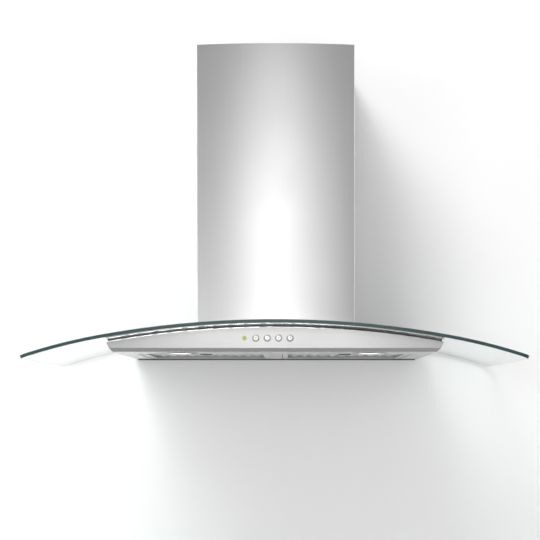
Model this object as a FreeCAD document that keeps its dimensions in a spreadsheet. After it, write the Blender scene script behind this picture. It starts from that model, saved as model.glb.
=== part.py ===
import FreeCAD, Part
import math
import os
import re
import Sketcher

# A wall hung range hood under a curved sheet of glass, with its blower and telescopic chimney.
# X runs to the right, the wall is the plane Y = 0 with the room at negative Y, and Z runs up
# from the underside of the body. Sizes are in millimetres. A size whose name ends in _front,
# _rear or _out is a distance from the wall into the room.

SIZES = [
    # the glass
    ("glass_width", "898", "glass from tip to tip"),
    ("glass_front", "500", "front edge of the glass"),
    ("glass_rear", "2", "rear edge of the glass"),
    ("glass_thick", "6", "glass thickness"),
    ("crown_radius", "1730", "bend radius of the glass over the body, on its upper side"),
    ("crown_half", "308", "half width of that bend"),
    ("tip_radius", "1000", "tighter bend radius towards the tips"),
    ("glass_corner", "15", "corner radius of the glass, seen from above"),
    ("throat_half", "110", "air throat through the glass, half width"),
    ("throat_front", "210", "air throat, front edge"),
    ("throat_rear", "30", "air throat, rear edge"),
    ("throat_corner", "8", "air throat, corner radius"),
    # the body
    ("body_height", "45.5", "body, from its underside to its crown"),
    ("body_top_half", "306", "half width of the body at its top corners"),
    ("waist_half", "300.5", "half width where the lip begins"),
    ("lip_taper", "6", "how far each end of the lip draws in"),
    ("lip_height", "6.7", "height of the slanted lip"),
    ("lip_depth", "7", "depth of the slanted lip"),
    ("fascia_front", "420", "face of the control fascia"),
    ("fascia_depth", "20", "depth of the fascia pressing"),
    ("fascia_fillet", "1", "rounding of the fascia's front edges"),
    ("body_sheet", "1.2", "sheet of the body pressings"),
    ("gasket_thick", "2.5", "gasket between the body and the glass"),
    ("gasket_band", "9", "width of the gasket"),
    ("gasket_inset", "3", "gasket, set back from the body's edge"),
    ("safety_hole_x", "200", "safety screw holes in the body's rear wall"),
    ("safety_hole_z", "18", "height of those holes"),
    ("safety_hole_r", "3", "radius of those holes"),
    # the filter opening and the filters
    ("opening_front", "310", "filter opening, front edge"),
    ("opening_rear", "16", "filter opening, rear edge"),
    ("opening_rim", "11", "height of the upstand round the opening"),
    ("rail_width", "25", "channel between the filters, outer width"),
    ("rail_flange", "8", "channel, width of each top flange"),
    ("rail_height", "12.4", "channel, underside of its top flanges"),
    ("filter_width", "245", "one filter, side to side"),
    ("filter_front", "308", "filter, front edge"),
    ("filter_length", "288", "filter, front to back"),
    ("filter_base", "1", "height of the filter's lower face"),
    ("filter_height", "9.5", "filter thickness"),
    ("front_bar", "16", "width of the filter's front bar, which holds the latch"),
    ("filter_bar", "10", "width of the filter's other bars"),
    ("filter_gap", "1", "gap at each side of a filter"),
    ("filter_corner", "6", "corner radius of the filter frame"),
    ("pin_radius", "2", "pivot pins at the filter's rear corners"),
    ("pin_inset", "4", "pivot pins, in front of the filter's rear edge"),
    ("pin_grip", "1.2", "pivot pins, reach into their holes"),
    ("pin_play", "0.06", "radial clearance of every pivot"),
    ("groove_depth", "4", "how far the mesh reaches into the frame bars"),
    ("mesh_thick", "1", "foil pack of the filter mesh"),
    ("mesh_rise", "4", "height of the mesh corrugation"),
    ("latch_x", "131", "filter latches, from the middle"),
    ("latch_width", "23", "finger plate of the filter latch"),
    ("latch_length", "12", "finger plate, front to back"),
    ("latch_drop", "2.4", "finger plate, below the filter's face"),
    ("latch_play", "0.3", "clearance round the latch"),
    ("tongue_width", "12", "latch tongue"),
    ("tongue_thick", "1.4", "latch tongue"),
    ("tongue_reach", "6", "latch tongue, ahead of the filter"),
    ("latch_travel", "6", "travel of the latch"),
    # the lamps
    ("lamp_x", "175", "lamps, from the middle"),
    ("lamp_out", "362", "lamps, from the wall"),
    ("lamp_bezel_r", "33", "lamp bezel, outer radius"),
    ("lamp_bezel_drop", "2", "lamp bezel, below the underside"),
    ("lamp_lens_r", "26.3", "lamp lens radius"),
    ("lamp_lens_thick", "2.5", "lamp lens thickness"),
    ("lamp_ledge", "2", "ledge of the bezel under the lens"),
    ("lamp_barrel_wall", "1.8", "wall of the bezel's barrel"),
    ("lamp_barrel_height", "9", "height of the bezel's barrel"),
    ("lamp_can_height", "25", "top of the lamp housing"),
    ("lamp_can_wall", "1.2", "wall of the lamp housing"),
    ("bulb_base_r", "8", "lamp bulb, radius of its base"),
    ("bulb_base", "5", "lamp bulb, height of its base"),
    ("bulb_r", "4.5", "lamp bulb, radius of its glass"),
    ("bulb_length", "10", "lamp bulb, length of its glass"),
    # the controls
    ("control_z", "24.5", "height of the button row"),
    ("button_first", "-34.4", "first button, from the middle"),
    ("button_pitch", "20.65", "button spacing"),
    ("pilot_x", "-55.05", "pilot light, from the middle"),
    ("pilot_flange_r", "4", "pilot light, flange radius"),
    ("pilot_flange", "0.8", "pilot light, flange thickness"),
    ("pilot_barrel_r", "2.5", "pilot light, barrel radius"),
    ("chip_half", "2", "pilot light chip on the board, half width"),
    ("chip_height", "2.6", "pilot light chip on the board"),
    ("chip_gap", "0.4", "gap between that chip and the pilot light"),
    ("ring_r", "6.25", "button ring, outer radius"),
    ("ring_rim", "0.6", "button ring, width of its front edge"),
    ("ring_proud", "1", "button ring, ahead of the fascia"),
    ("barrel_r", "5.5", "button ring, radius of the barrel through the fascia"),
    ("barrel_length", "6", "button ring, length of that barrel"),
    ("cap_r", "4.5", "button cap radius"),
    ("cap_play", "0.3", "clearance between cap and ring"),
    ("cap_proud", "1.4", "button cap, ahead of the fascia"),
    ("cap_chamfer", "0.6", "button cap, chamfer of its front edge"),
    ("stop_r", "5.3", "stop flange radius"),
    ("stop_thick", "1.2", "stop flange behind the cap"),
    ("stop_gap", "0.4", "stop flange, behind the ring's barrel"),
    ("button_travel", "2", "travel of a button"),
    ("switch_gap", "0.3", "gap between a pressed button and its switch"),
    ("switch_half", "3", "key switch, half width"),
    ("switch_height", "4", "key switch with its plunger"),
    ("plunger_half", "1.5", "plunger of the key switch, half width"),
    ("plunger_height", "1", "plunger of the key switch"),
    ("board_thick", "1.6", "circuit board"),
    ("housing_left", "-70", "control housing, left side"),
    ("housing_right", "45", "control housing, right side"),
    ("housing_low", "10", "control housing, lower side"),
    ("housing_high", "39", "control housing, upper side"),
    ("housing_wall", "1.5", "control housing wall"),
    ("housing_depth", "34", "control housing, front to back"),
    # the chimney
    ("chimney_half", "153", "half width of the lower chimney"),
    ("chimney_out", "250", "front corners of the lower chimney"),
    ("chimney_bow", "12.5", "bow of the chimney's front"),
    ("chimney_top", "600", "top edge of the lower chimney"),
    ("chimney_sheet", "0.8", "chimney sheet"),
    ("chimney_bend", "2.5", "outer bend radius at the chimney's corners"),
    ("chimney_flange", "15", "rear flange of the chimney"),
    ("telescope_gap", "1.2", "gap between the two chimney halves"),
    ("upper_base", "118", "lower edge of the upper chimney at rest"),
    ("upper_top", "597", "top edge of the upper chimney at rest"),
    ("vent_pitch", "30", "vents of the upper chimney, spacing"),
    ("vent_width", "9", "vents of the upper chimney, width"),
    ("vent_height", "60", "vents of the upper chimney, height"),
    ("vent_drop", "22", "vents of the upper chimney, below its top"),
    ("strap_height", "30", "wall strap of the upper chimney"),
    ("strap_drop", "2", "wall strap, below the chimney's top"),
    ("strap_ear", "28", "wall strap, length of its ears"),
    ("strap_sheet", "1.5", "wall strap thickness"),
    ("strap_hole_x", "100", "wall strap holes, from the middle"),
    ("strap_hole_r", "3", "wall strap hole radius"),
    # the clamp over the glass
    ("pad_thick", "2", "rubber pad over the glass"),
    ("clamp_thick", "3", "clamp plate"),
    ("clamp_half", "140", "half width of the clamp plate"),
    ("clamp_front", "236", "clamp plate, front edge"),
    ("clamp_rear", "8", "clamp plate, rear edge"),
    ("clamp_screw_x", "128", "clamp screws, from the middle"),
    ("clamp_screw_front", "190", "front clamp screws"),
    ("clamp_screw_rear", "60", "rear clamp screws"),
    ("clamp_screw_r", "3", "clamp screw radius"),
    ("clamp_hole_r", "4.5", "clamp holes in the glass"),
    ("clamp_head_r", "5.4", "clamp screws, corner radius of heads and nuts"),
    ("clamp_head", "3.4", "clamp screws, head height"),
    ("clamp_nut", "5", "clamp screws, nut height"),
    ("clamp_tail", "2", "clamp screws, thread below the nut"),
    ("ear_height", "100", "top of the ears that hold the lower chimney"),
    ("ear_width", "30", "width of an ear"),
    ("ear_out", "120", "middle of an ear"),
    ("ear_screw_z", "88", "chimney screws"),
    ("ear_screw_r", "2", "chimney screw radius"),
    ("ear_screw_rim", "2", "chimney screw, head past its shank"),
    ("ear_screw_head", "2", "chimney screw, head height"),
    ("ear_screw_reach", "8", "chimney screw, length inside the chimney"),
    # the blower
    ("box_half", "118", "half width of the blower box"),
    ("box_front", "224", "blower box, front"),
    ("box_rear", "14", "blower box, rear"),
    ("box_top", "290", "blower box, top"),
    ("box_sheet", "1", "blower box sheet"),
    ("box_flange", "18", "blower box, side flanges on the clamp plate"),
    ("box_flange_short", "20", "blower box, flanges cut short at each end"),
    ("fan_out", "135", "fan axis, from the wall"),
    ("fan_z", "160", "fan axis, height"),
    ("scroll_start", "75", "scroll radius at the tongue"),
    ("scroll_step", "6", "growth of the scroll each quarter turn"),
    ("scroll_half", "48", "scroll, half width inside"),
    ("scroll_sheet", "1", "scroll sheet"),
    ("tongue_out", "30", "scroll tongue, behind the fan axis"),
    ("tongue_rise", "69", "scroll tongue, above the fan axis"),
    ("inlet_r", "46", "fan inlet radius"),
    ("inlet_lip", "6", "bell mouth of the inlet"),
    ("fan_r", "65", "impeller radius"),
    ("fan_inner_r", "53", "impeller, inner radius of the blades"),
    ("fan_half", "43", "impeller, half width"),
    ("fan_blades", "24", "number of blades"),
    ("blade_thick", "1", "blade thickness"),
    ("blade_radius", "14", "blade curvature"),
    ("blade_lean", "5.4", "how far a blade's outer edge leads its root"),
    ("blade_seat", "0.5", "how far the blades run into the rings"),
    ("fan_ring", "2", "impeller end rings and centre disc"),
    ("hub_r", "10", "impeller hub radius"),
    ("hub_half", "14", "impeller hub, half length"),
    ("shaft_r", "4", "motor shaft radius"),
    ("motor_r", "32", "motor radius"),
    ("motor_boss_r", "8", "motor boss radius"),
    ("motor_boss", "3", "motor boss length"),
    ("motor_taper", "4", "taper of the motor's ends"),
    ("motor_near", "57", "motor, end near the fan"),
    ("motor_length", "50", "motor length"),
    ("spider_inset", "10", "motor clamp band, from the motor's near end"),
    ("spider_band", "8", "motor clamp band"),
    ("spider_wall", "2", "motor clamp band, wall"),
    ("spider_arm", "10", "width of a spider arm"),
    ("spider_reach", "60", "spider feet, radius on the scroll"),
    # the outlet
    ("collar_out", "96", "outlet collar, from the wall"),
    ("collar_r", "74.5", "outlet collar, outer radius"),
    ("collar_wall", "2", "outlet collar wall"),
    ("collar_flange_r", "81.5", "outlet collar, flange radius"),
    ("collar_flange", "2", "outlet collar, flange thickness"),
    ("spigot_length", "50", "outlet collar above its flange"),
    ("flap_z", "18", "flap pivot, above the collar's flange"),
    ("flap_thick", "1.2", "flap thickness"),
    ("flap_play", "1.2", "gap between a flap and the collar"),
    ("flap_pin_r", "1.5", "flap pin radius"),
    ("knuckle_r", "2.7", "flap knuckle radius"),
    ("knuckle_length", "16", "flap knuckle length"),
    ("knuckle_edge", "0.6", "gap between a flap's straight edge and the knuckles"),
    ("knuckle_gap", "1", "gap between neighbouring knuckles"),
    ("ledge_width", "3", "ledge that the flaps rest on"),
    ("ledge_gap", "0.3", "gap between a shut flap and its ledge"),
    ("collar_screw_r", "2.4", "collar screws, corner radius of the heads"),
    ("collar_screw_head", "2", "collar screws, head height"),
    # the wall brackets and the electrics
    ("hook_x", "75", "wall brackets, from the middle"),
    ("hook_z", "262", "wall bracket screws, height"),
    ("hook_hole_r", "2.75", "wall bracket hole radius"),
    ("hook_width", "30", "wall bracket width"),
    ("hook_sheet", "2", "wall bracket thickness"),
    ("hook_drop", "16", "hook arm, below the screw"),
    ("hook_rise", "12", "height of the hook's lip"),
    ("hook_play", "0.5", "clearance round a hook"),
    ("supply_length", "90", "lamp supply, front to back"),
    ("supply_height", "80", "lamp supply, height"),
    ("supply_depth", "26", "lamp supply, off the blower box"),
    ("supply_out", "130", "lamp supply, middle"),
    ("supply_z", "150", "lamp supply, lower side"),
    ("supply_corner", "2", "lamp supply, corner radius"),
    ("gland_r", "8", "cable gland radius"),
    ("gland_nut_r", "10", "cable gland, corner radius of its nut"),
    ("gland_nut", "4", "cable gland, height of its nut"),
    ("gland_thread_r", "5.6", "cable gland, thread radius"),
    ("gland_thread", "10", "cable gland, thread length"),
    ("gland_bore_r", "3.5", "cable gland bore"),
    ("gland_length", "16", "cable gland length"),
    ("capacitor_r", "14", "motor capacitor radius"),
    ("capacitor_height", "60", "motor capacitor height"),
    ("tab_half", "2", "motor capacitor, half width of its terminals"),
    ("tab_spread", "5", "motor capacitor, terminals from its axis"),
    ("tab_height", "6", "motor capacitor, height of its terminals"),
]
ALIASES = {alias for alias, number, note in SIZES}

BUTTON_COUNT = 4
MESH_FOLDS = 12
VENT_COUNT = 5
PAST = 1  # how far a cutting tool runs past the material

doc = FreeCAD.newDocument("RangeHood")
sheet = doc.addObject("Spreadsheet::Sheet", "Sizes")
for row, (alias, number, note) in enumerate(SIZES, 1):
    sheet.set(f"A{row}", note)
    sheet.set(f"B{row}", number)
    sheet.setAlias(f"B{row}", alias)
doc.recompute()

PIECES = []


# ---------------------------------------------------------------- expressions and outlines

def link(expression):
    """An expression on the sizes, with each size tied to its cell."""
    return re.sub(r"[a-z]\w*", lambda word: tie(word.group()), expression)


def tie(word):
    return "Sizes." + word if word in ALIASES else word


def value(expression):
    result = sheet.evalExpression(link(expression))
    return float(getattr(result, "Value", result))


def rectangle(left, low, right, high):
    return [(left, low), (right, low), (right, high), (left, high)]


def square(across, up, half):
    return rectangle(f"{across} - {half}", f"{up} - {half}", f"{across} + {half}", f"{up} + {half}")


def rounded(left, low, right, high, corner):
    """A rectangle with rounded corners, anticlockwise."""
    left, low, right, high, corner = (f"({place})" for place in (left, low, right, high, corner))
    return [
        (f"{left} + {corner}", low),
        (f"{right} - {corner}", low, "ccw", corner),
        (right, f"{low} + {corner}"),
        (right, f"{high} - {corner}", "ccw", corner),
        (f"{right} - {corner}", high),
        (f"{left} + {corner}", high, "ccw", corner),
        (left, f"{high} - {corner}"),
        (left, f"{low} + {corner}", "ccw", corner),
    ]


def circle(across, up, radius):
    return ("circle", across, up, radius)


def hexagon(across, up, radius):
    """A hexagon round a centre, with its corners at that radius."""
    half = f"({radius}) / 2"
    rise = f"({radius}) * sqrt(3) / 2"
    return [
        (f"{across} + {radius}", up),
        (f"{across} + {half}", f"{up} + {rise}"),
        (f"{across} - {half}", f"{up} + {rise}"),
        (f"{across} - {radius}", up),
        (f"{across} - {half}", f"{up} - {rise}"),
        (f"{across} + {half}", f"{up} - {rise}"),
    ]


def round_rim(loop):
    return isinstance(loop, tuple)


def arc_between(here, there, turn, radius):
    """The shorter arc from one point to the next, turning cw or ccw."""
    chord = there - here
    left = FreeCAD.Vector(-chord.y, chord.x, 0) / chord.Length
    reach = math.sqrt(max(radius ** 2 - (chord.Length / 2) ** 2, 0))
    side = 1 if turn == "ccw" else -1
    centre = (here + there) * 0.5 + left * (reach * side)
    first, last = (here, there) if turn == "ccw" else (there, here)
    start = math.atan2(first.y - centre.y, first.x - centre.x)
    end = math.atan2(last.y - centre.y, last.x - centre.x)
    if end <= start:
        end += 2 * math.pi
    rim = Part.Circle(centre, FreeCAD.Vector(0, 0, 1), radius)
    return Part.ArcOfCircle(rim, start, end)


def draw_circle(sketch, loop):
    kind, across, up, radius = loop
    centre = FreeCAD.Vector(value(across), value(up), 0)
    rim = Part.Circle(centre, FreeCAD.Vector(0, 0, 1), value(radius))
    index = sketch.addGeometry(rim)
    fix(sketch, [
        (Sketcher.Constraint("DistanceX", -1, 1, index, 3, centre.x), across),
        (Sketcher.Constraint("DistanceY", -1, 1, index, 3, centre.y), up),
        (Sketcher.Constraint("Radius", index, value(radius)), radius),
    ])


def draw_outline(sketch, corners):
    """A closed outline. A corner is (across, up), or (across, up, turn, radius) before an arc."""
    places = [FreeCAD.Vector(value(corner[0]), value(corner[1]), 0) for corner in corners]
    count = len(corners)
    first = sketch.GeometryCount
    ends = []
    curves = []
    for i, corner in enumerate(corners):
        here = places[i]
        there = places[(i + 1) % count]
        if len(corner) == 2:
            curves.append(Part.LineSegment(here, there))
            ends.append((1, 2))
        else:
            curves.append(arc_between(here, there, corner[2], value(corner[3])))
            ends.append((1, 2) if corner[2] == "ccw" else (2, 1))
    sketch.addGeometry(curves)
    rules = []
    for i, corner in enumerate(corners):
        after = (i + 1) % count
        join = Sketcher.Constraint("Coincident", first + i, ends[i][1], first + after, ends[after][0])
        rules.append((join, None))
    for i, corner in enumerate(corners):
        start = ends[i][0]
        rules.append((Sketcher.Constraint("DistanceX", -1, 1, first + i, start, places[i].x), corner[0]))
        rules.append((Sketcher.Constraint("DistanceY", -1, 1, first + i, start, places[i].y), corner[1]))
        if len(corner) > 2:
            rules.append((Sketcher.Constraint("Radius", first + i, value(corner[3])), corner[3]))
    fix(sketch, rules)


def fix(sketch, rules):
    """Add constraints, and tie each one that has an expression to the sizes."""
    numbers = sketch.addConstraint([constraint for constraint, expression in rules])
    for number, (constraint, expression) in zip(numbers, rules):
        if expression is not None:
            sketch.setExpression(f"Constraints[{number}]", link(expression))


# ---------------------------------------------------------------- pieces and their features

class Piece:
    """One separate piece of the hood: a body built from sketches and features."""

    def __init__(self, label):
        self.body = doc.addObject("PartDesign::Body", label)
        self.body.Label = label
        self.body.AllowCompound = True
        PIECES.append(self.body)

    def sketch(self, plane, offset, loops):
        """A sketch on an origin plane, its own origin moved by offset in the plane's axes."""
        sketch = self.body.newObject("Sketcher::SketchObject", self.body.Label + "_sketch")
        planes = self.body.Origin.OriginFeatures
        sketch.AttachmentSupport = [(next(p for p in planes if p.Role == plane + "_Plane"), "")]
        sketch.MapMode = "FlatFace"
        for axis, distance in zip("xyz", offset):
            sketch.setExpression("AttachmentOffset.Base." + axis, link(distance))
        for loop in loops:
            if round_rim(loop):
                draw_circle(sketch, loop)
            else:
                draw_outline(sketch, loop)
        return sketch

    def feature(self, kind, sketch):
        feature = self.body.newObject("PartDesign::" + kind, self.body.Label + "_" + kind.lower())
        feature.Profile = sketch
        sketch.Visibility = False
        return feature

    def settle(self, feature, grows):
        """Recompute, and check that the feature added or removed material."""
        before = feature.BaseFeature.Shape.Volume if feature.BaseFeature else 0
        doc.recompute()
        after = feature.Shape.Volume
        if "Invalid" in feature.State or (after <= before if grows else after >= before):
            raise RuntimeError(f"{feature.Label} of {self.body.Label} failed")
        return feature

    def run(self, kind, plane, low, high, loops, at):
        """A pad or pocket between two levels along the plane's normal axis."""
        level = f"-({high})" if plane == "XZ" else low
        sketch = self.sketch(plane, (at[0], at[1], level), loops)
        feature = self.feature(kind, sketch)
        feature.Reversed = kind == "Pocket"
        feature.setExpression("Length", link(f"({high}) - ({low})"))
        return self.settle(feature, kind == "Pad")

    def pad(self, plane, low, high, *loops, at=("0", "0")):
        return self.run("Pad", plane, low, high, loops, at)

    def cut(self, plane, low, high, *loops, at=("0", "0")):
        return self.run("Pocket", plane, low, high, loops, at)

    def turn(self, axis, at, profile):
        """A revolution about a line along X, Y or Z. The profile's corners are (along, radius)."""
        if axis == "Z":
            offset = (at[0], "0", f"-({at[1]})")
            other = {"cw": "ccw", "ccw": "cw"}
            profile = [(c[1], c[0]) + ((other[c[2]], c[3]) if len(c) > 2 else ()) for c in profile]
        elif axis == "Y":
            offset = ("0", at[1], at[0])
        else:
            offset = ("0", at[1], f"-({at[0]})")
        sketch = self.sketch("YZ" if axis == "Y" else "XZ", offset, [profile])
        feature = self.feature("Revolution", sketch)
        feature.ReferenceAxis = (sketch, ["V_Axis" if axis == "Z" else "H_Axis"])
        feature.Angle = 360
        return self.settle(feature, True)

    def rod(self, axis, at, low, high, radius):
        return self.turn(axis, at, rectangle(low, "0", high, radius))

    def polar(self, feature, count):
        """Repeat a pad round the origin of its own sketch."""
        pattern = self.body.newObject("PartDesign::PolarPattern", self.body.Label + "_pattern")
        pattern.Originals = [feature]
        pattern.Axis = (feature.Profile[0], ["N_Axis"])
        pattern.Angle = 360
        pattern.setExpression("Occurrences", link(count))
        self.body.Tip = pattern
        return self.settle(pattern, True)

    def shell(self, thickness, is_open):
        """Hollow the piece inwards, leaving out each face that is_open picks."""
        base = self.body.Tip
        names = [f"Face{i}" for i, face in enumerate(base.Shape.Faces, 1) if is_open(face)]
        feature = self.body.newObject("PartDesign::Thickness", self.body.Label + "_shell")
        feature.Base = (base, names)
        feature.Reversed = True
        feature.Join = 1
        feature.setExpression("Value", link(thickness))
        return self.settle(feature, False)

    def fillet(self, radius, picks):
        base = self.body.Tip
        names = [f"Edge{i}" for i, edge in enumerate(base.Shape.Edges, 1) if picks(edge.BoundBox)]
        feature = self.body.newObject("PartDesign::Fillet", self.body.Label + "_fillet")
        feature.Base = (base, names)
        feature.setExpression("Radius", link(radius))
        doc.recompute()
        if not names or "Invalid" in feature.State:
            raise RuntimeError(f"{feature.Label} failed")
        return feature


def near(number, target):
    tolerance = 0.01
    return abs(number - target) < tolerance


# ---------------------------------------------------------------- shared places

# The depth of a surface is measured down from the upper side of the glass, square to it.
GLASS_TOP = "(body_height + gasket_thick + glass_thick)"
CROWN_Z = f"({GLASS_TOP} - crown_radius)"
DECK_DEPTH = "(glass_thick + gasket_thick)"
CLAMP_DEPTH = "(-pad_thick - clamp_thick)"
JOINT_SIN = "(crown_half / crown_radius)"
JOINT_COS = f"sqrt(1 - {JOINT_SIN} ^ 2)"
TIP_X = f"((crown_radius - tip_radius) * {JOINT_SIN})"
TIP_Z = f"({CROWN_Z} + (crown_radius - tip_radius) * {JOINT_COS})"
TIP_SIN = f"((glass_width / 2 - {TIP_X}) / tip_radius)"
TIP_COS = f"sqrt(1 - {TIP_SIN} ^ 2)"

FASCIA_BACK = "(fascia_front - body_sheet)"
CASING_FRONT = "(fascia_front - fascia_depth)"
OPENING_HALF = "(rail_width / 2 + 2 * filter_gap + filter_width)"
FILTER_X = "(rail_width / 2 + filter_gap + filter_width / 2)"
FILTER_REAR = "(filter_front - filter_length)"
FILTER_TOP = "(filter_base + filter_height)"
PIVOT_OUT = f"({FILTER_REAR} + pin_inset)"
PIVOT_Z = "(filter_base + filter_height / 2)"
MESH_LOW = f"({PIVOT_Z} - (mesh_rise + mesh_thick) / 2)"
COLLAR_BASE = "(box_top + collar_flange)"
COLLAR_INNER = "(collar_r - collar_wall)"
FLAP_AXIS_Z = f"({COLLAR_BASE} + flap_z)"
KNUCKLE_STEP = "(knuckle_length + knuckle_gap)"
SCROLL_TOP = "(box_top - box_sheet - fan_z)"
BOTTOM_HALF = "(waist_half - lip_taper)"
SIDE_SKIN = "(body_sheet * sqrt(1 + (lip_taper / lip_height) ^ 2))"
UPPER_BEND = "(body_sheet * tan(atan(lip_depth / lip_height) / 2))"
LOWER_BEND = "(body_sheet * tan(atan(lip_height / lip_depth) / 2))"
CLAMP_SCREWS = [
    (side + "clamp_screw_x", out)
    for side in ("-", "")
    for out in ("-clamp_screw_front", "-clamp_screw_rear")
]
SIDES = (("left", "-"), ("right", ""))
LAMP_BARREL = "(lamp_lens_r + lamp_barrel_wall)"
LAMP_LEDGE = "(-lamp_bezel_drop / 2)"
LAMP_ROOF = "(lamp_can_height - lamp_can_wall)"
SUPPLY_TOP = "(supply_z + supply_height)"
GLAND_AT = ("box_half + supply_depth / 2", "-supply_out")


def surface(depth, across):
    """Height of the surface at that depth, over the crown of the glass."""
    return f"({CROWN_Z} + sqrt((crown_radius - {depth}) ^ 2 - ({across}) ^ 2))"


def band(top, bottom, left, right):
    """A curved strip between two depths, in the XZ plane, anticlockwise."""
    return [
        (left, surface(bottom, left), "cw", f"crown_radius - {bottom}"),
        (right, surface(bottom, right)),
        (right, surface(top, right), "ccw", f"crown_radius - {top}"),
        (left, surface(top, left)),
    ]


def throat():
    return rounded("-throat_half", "-throat_front", "throat_half", "-throat_rear", "throat_corner")


def body_section():
    """Front view of the body: bowed top, drafted sides, slanted lip, flat underside."""
    top = surface(DECK_DEPTH, "body_top_half")
    return [
        (f"-{BOTTOM_HALF}", "0"),
        (BOTTOM_HALF, "0"),
        ("waist_half", "lip_height"),
        ("body_top_half", top, "ccw", f"crown_radius - {DECK_DEPTH}"),
        ("-body_top_half", top),
        ("-waist_half", "lip_height"),
    ]


# ---------------------------------------------------------------- glass and body

def glass_section():
    """The bent sheet: a flat bow over the body and tighter bows to the two tips."""

    def joint(side, depth):
        across = f"{side}(crown_radius - {depth}) * {JOINT_SIN}"
        return across, f"{CROWN_Z} + (crown_radius - {depth}) * {JOINT_COS}"

    def tip(side, depth):
        across = f"{side}({TIP_X} + (tip_radius - {depth}) * {TIP_SIN})"
        return across, f"{TIP_Z} + (tip_radius - {depth}) * {TIP_COS}"

    return [
        (*tip("-", "glass_thick"), "cw", "tip_radius - glass_thick"),
        (*joint("-", "glass_thick"), "cw", "crown_radius - glass_thick"),
        (*joint("", "glass_thick"), "cw", "tip_radius - glass_thick"),
        tip("", "glass_thick"),
        (*tip("", "0"), "ccw", "tip_radius"),
        (*joint("", "0"), "ccw", "crown_radius"),
        (*joint("-", "0"), "ccw", "tip_radius"),
        tip("-", "0"),
    ]


def glass_canopy():
    glass = Piece("glass_canopy")
    glass.pad("XZ", "-glass_front", "-glass_rear", glass_section())
    reach = value("glass_width / 2 - glass_thick")

    def tip_edge(box):
        return near(box.YLength, 0) and min(abs(box.XMin), abs(box.XMax)) > reach

    glass.fillet("glass_corner", tip_edge)
    glass.cut("XY", "0", f"{GLASS_TOP} + glass_thick", throat())
    holes = [circle(across, out, "clamp_hole_r") for across, out in CLAMP_SCREWS]
    glass.cut("XY", "0", f"{GLASS_TOP} + glass_thick", *holes)


def glass_gasket():
    """A frame under the glass all round the body, and a loop round the air throat."""
    gasket = Piece("glass_gasket")
    half = "(body_top_half - gasket_inset)"
    front = "(fascia_front - gasket_inset)"
    section = band("glass_thick", DECK_DEPTH, f"-{half}", half)
    gasket.pad("XZ", f"-{front}", "-gasket_inset", section)
    inner = rectangle(
        f"-{half} + gasket_band",
        f"-{front} + gasket_band",
        f"{half} - gasket_band",
        "-gasket_inset - gasket_band",
    )
    loop = rounded(
        "-throat_half - gasket_band",
        "-throat_front - gasket_band",
        "throat_half + gasket_band",
        "-throat_rear + gasket_band",
        "throat_corner",
    )
    gasket.cut("XY", "0", GLASS_TOP, inner, loop)
    gasket.cut("XY", "0", GLASS_TOP, throat())


def body_casing():
    casing = Piece("body_casing")
    casing.pad("XZ", f"-{CASING_FRONT}", "0", body_section())
    front = -value(CASING_FRONT)
    casing.shell("body_sheet", lambda face: near(face.BoundBox.YMax, front) or near(face.BoundBox.ZMax, 0))
    casing.cut("XY", "lip_height", GLASS_TOP, throat())
    holes = [circle(across, out, "clamp_screw_r") for across, out in CLAMP_SCREWS]
    casing.cut("XY", "lip_height", GLASS_TOP, *holes)
    wall_holes = [circle(side + "safety_hole_x", "safety_hole_z", "safety_hole_r") for name, side in SIDES]
    casing.cut("XZ", "-2 * body_sheet", PAST, *wall_holes)


def control_fascia():
    """The curved front pressing: a flat face with a slanted lip, open to the rear."""
    fascia = Piece("control_fascia")
    fascia.pad("XZ", "-fascia_front", f"-{CASING_FRONT}", body_section())
    lip = [
        (f"-fascia_front - {PAST}", f"-{PAST}"),
        (f"-fascia_front + lip_depth * (1 + {PAST} / lip_height)", f"-{PAST}"),
        ("-fascia_front", "lip_height"),
        (f"-fascia_front - {PAST}", "lip_height"),
    ]
    fascia.cut("YZ", "-body_top_half", "body_top_half", lip)
    face = -value("fascia_front")
    lip_line = value("lip_height")
    fascia.fillet("fascia_fillet", lambda box: near(box.YMax, face) and not near(box.ZMax, lip_line))
    rear = f"(-{CASING_FRONT} + {PAST})"
    bend = f"(lip_height + {UPPER_BEND})"
    top_half = f"(body_top_half - {SIDE_SKIN})"
    top = surface(f"({DECK_DEPTH} + body_sheet)", top_half)
    upper = [
        (f"-waist_half + {SIDE_SKIN}", bend),
        (f"waist_half - {SIDE_SKIN}", bend),
        (top_half, top, "ccw", f"crown_radius - {DECK_DEPTH} - body_sheet"),
        (f"-{top_half}", top),
    ]
    fascia.cut("XZ", f"-{FASCIA_BACK}", rear, upper)
    lower = [
        (f"-fascia_front + lip_depth + {LOWER_BEND}", "body_sheet"),
        (rear, "body_sheet"),
        (rear, bend),
        (f"-{FASCIA_BACK}", bend),
    ]
    fascia.cut("YZ", f"-{BOTTOM_HALF} + {SIDE_SKIN}", f"{BOTTOM_HALF} - {SIDE_SKIN}", lower)
    holes = [circle(button_x(i), "control_z", "barrel_r + pin_play") for i in range(BUTTON_COUNT)]
    holes.append(circle("pilot_x", "control_z", "pilot_barrel_r + pin_play"))
    fascia.cut("XZ", f"-fascia_front - {PAST}", f"-{FASCIA_BACK} + {PAST}", *holes)


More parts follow.
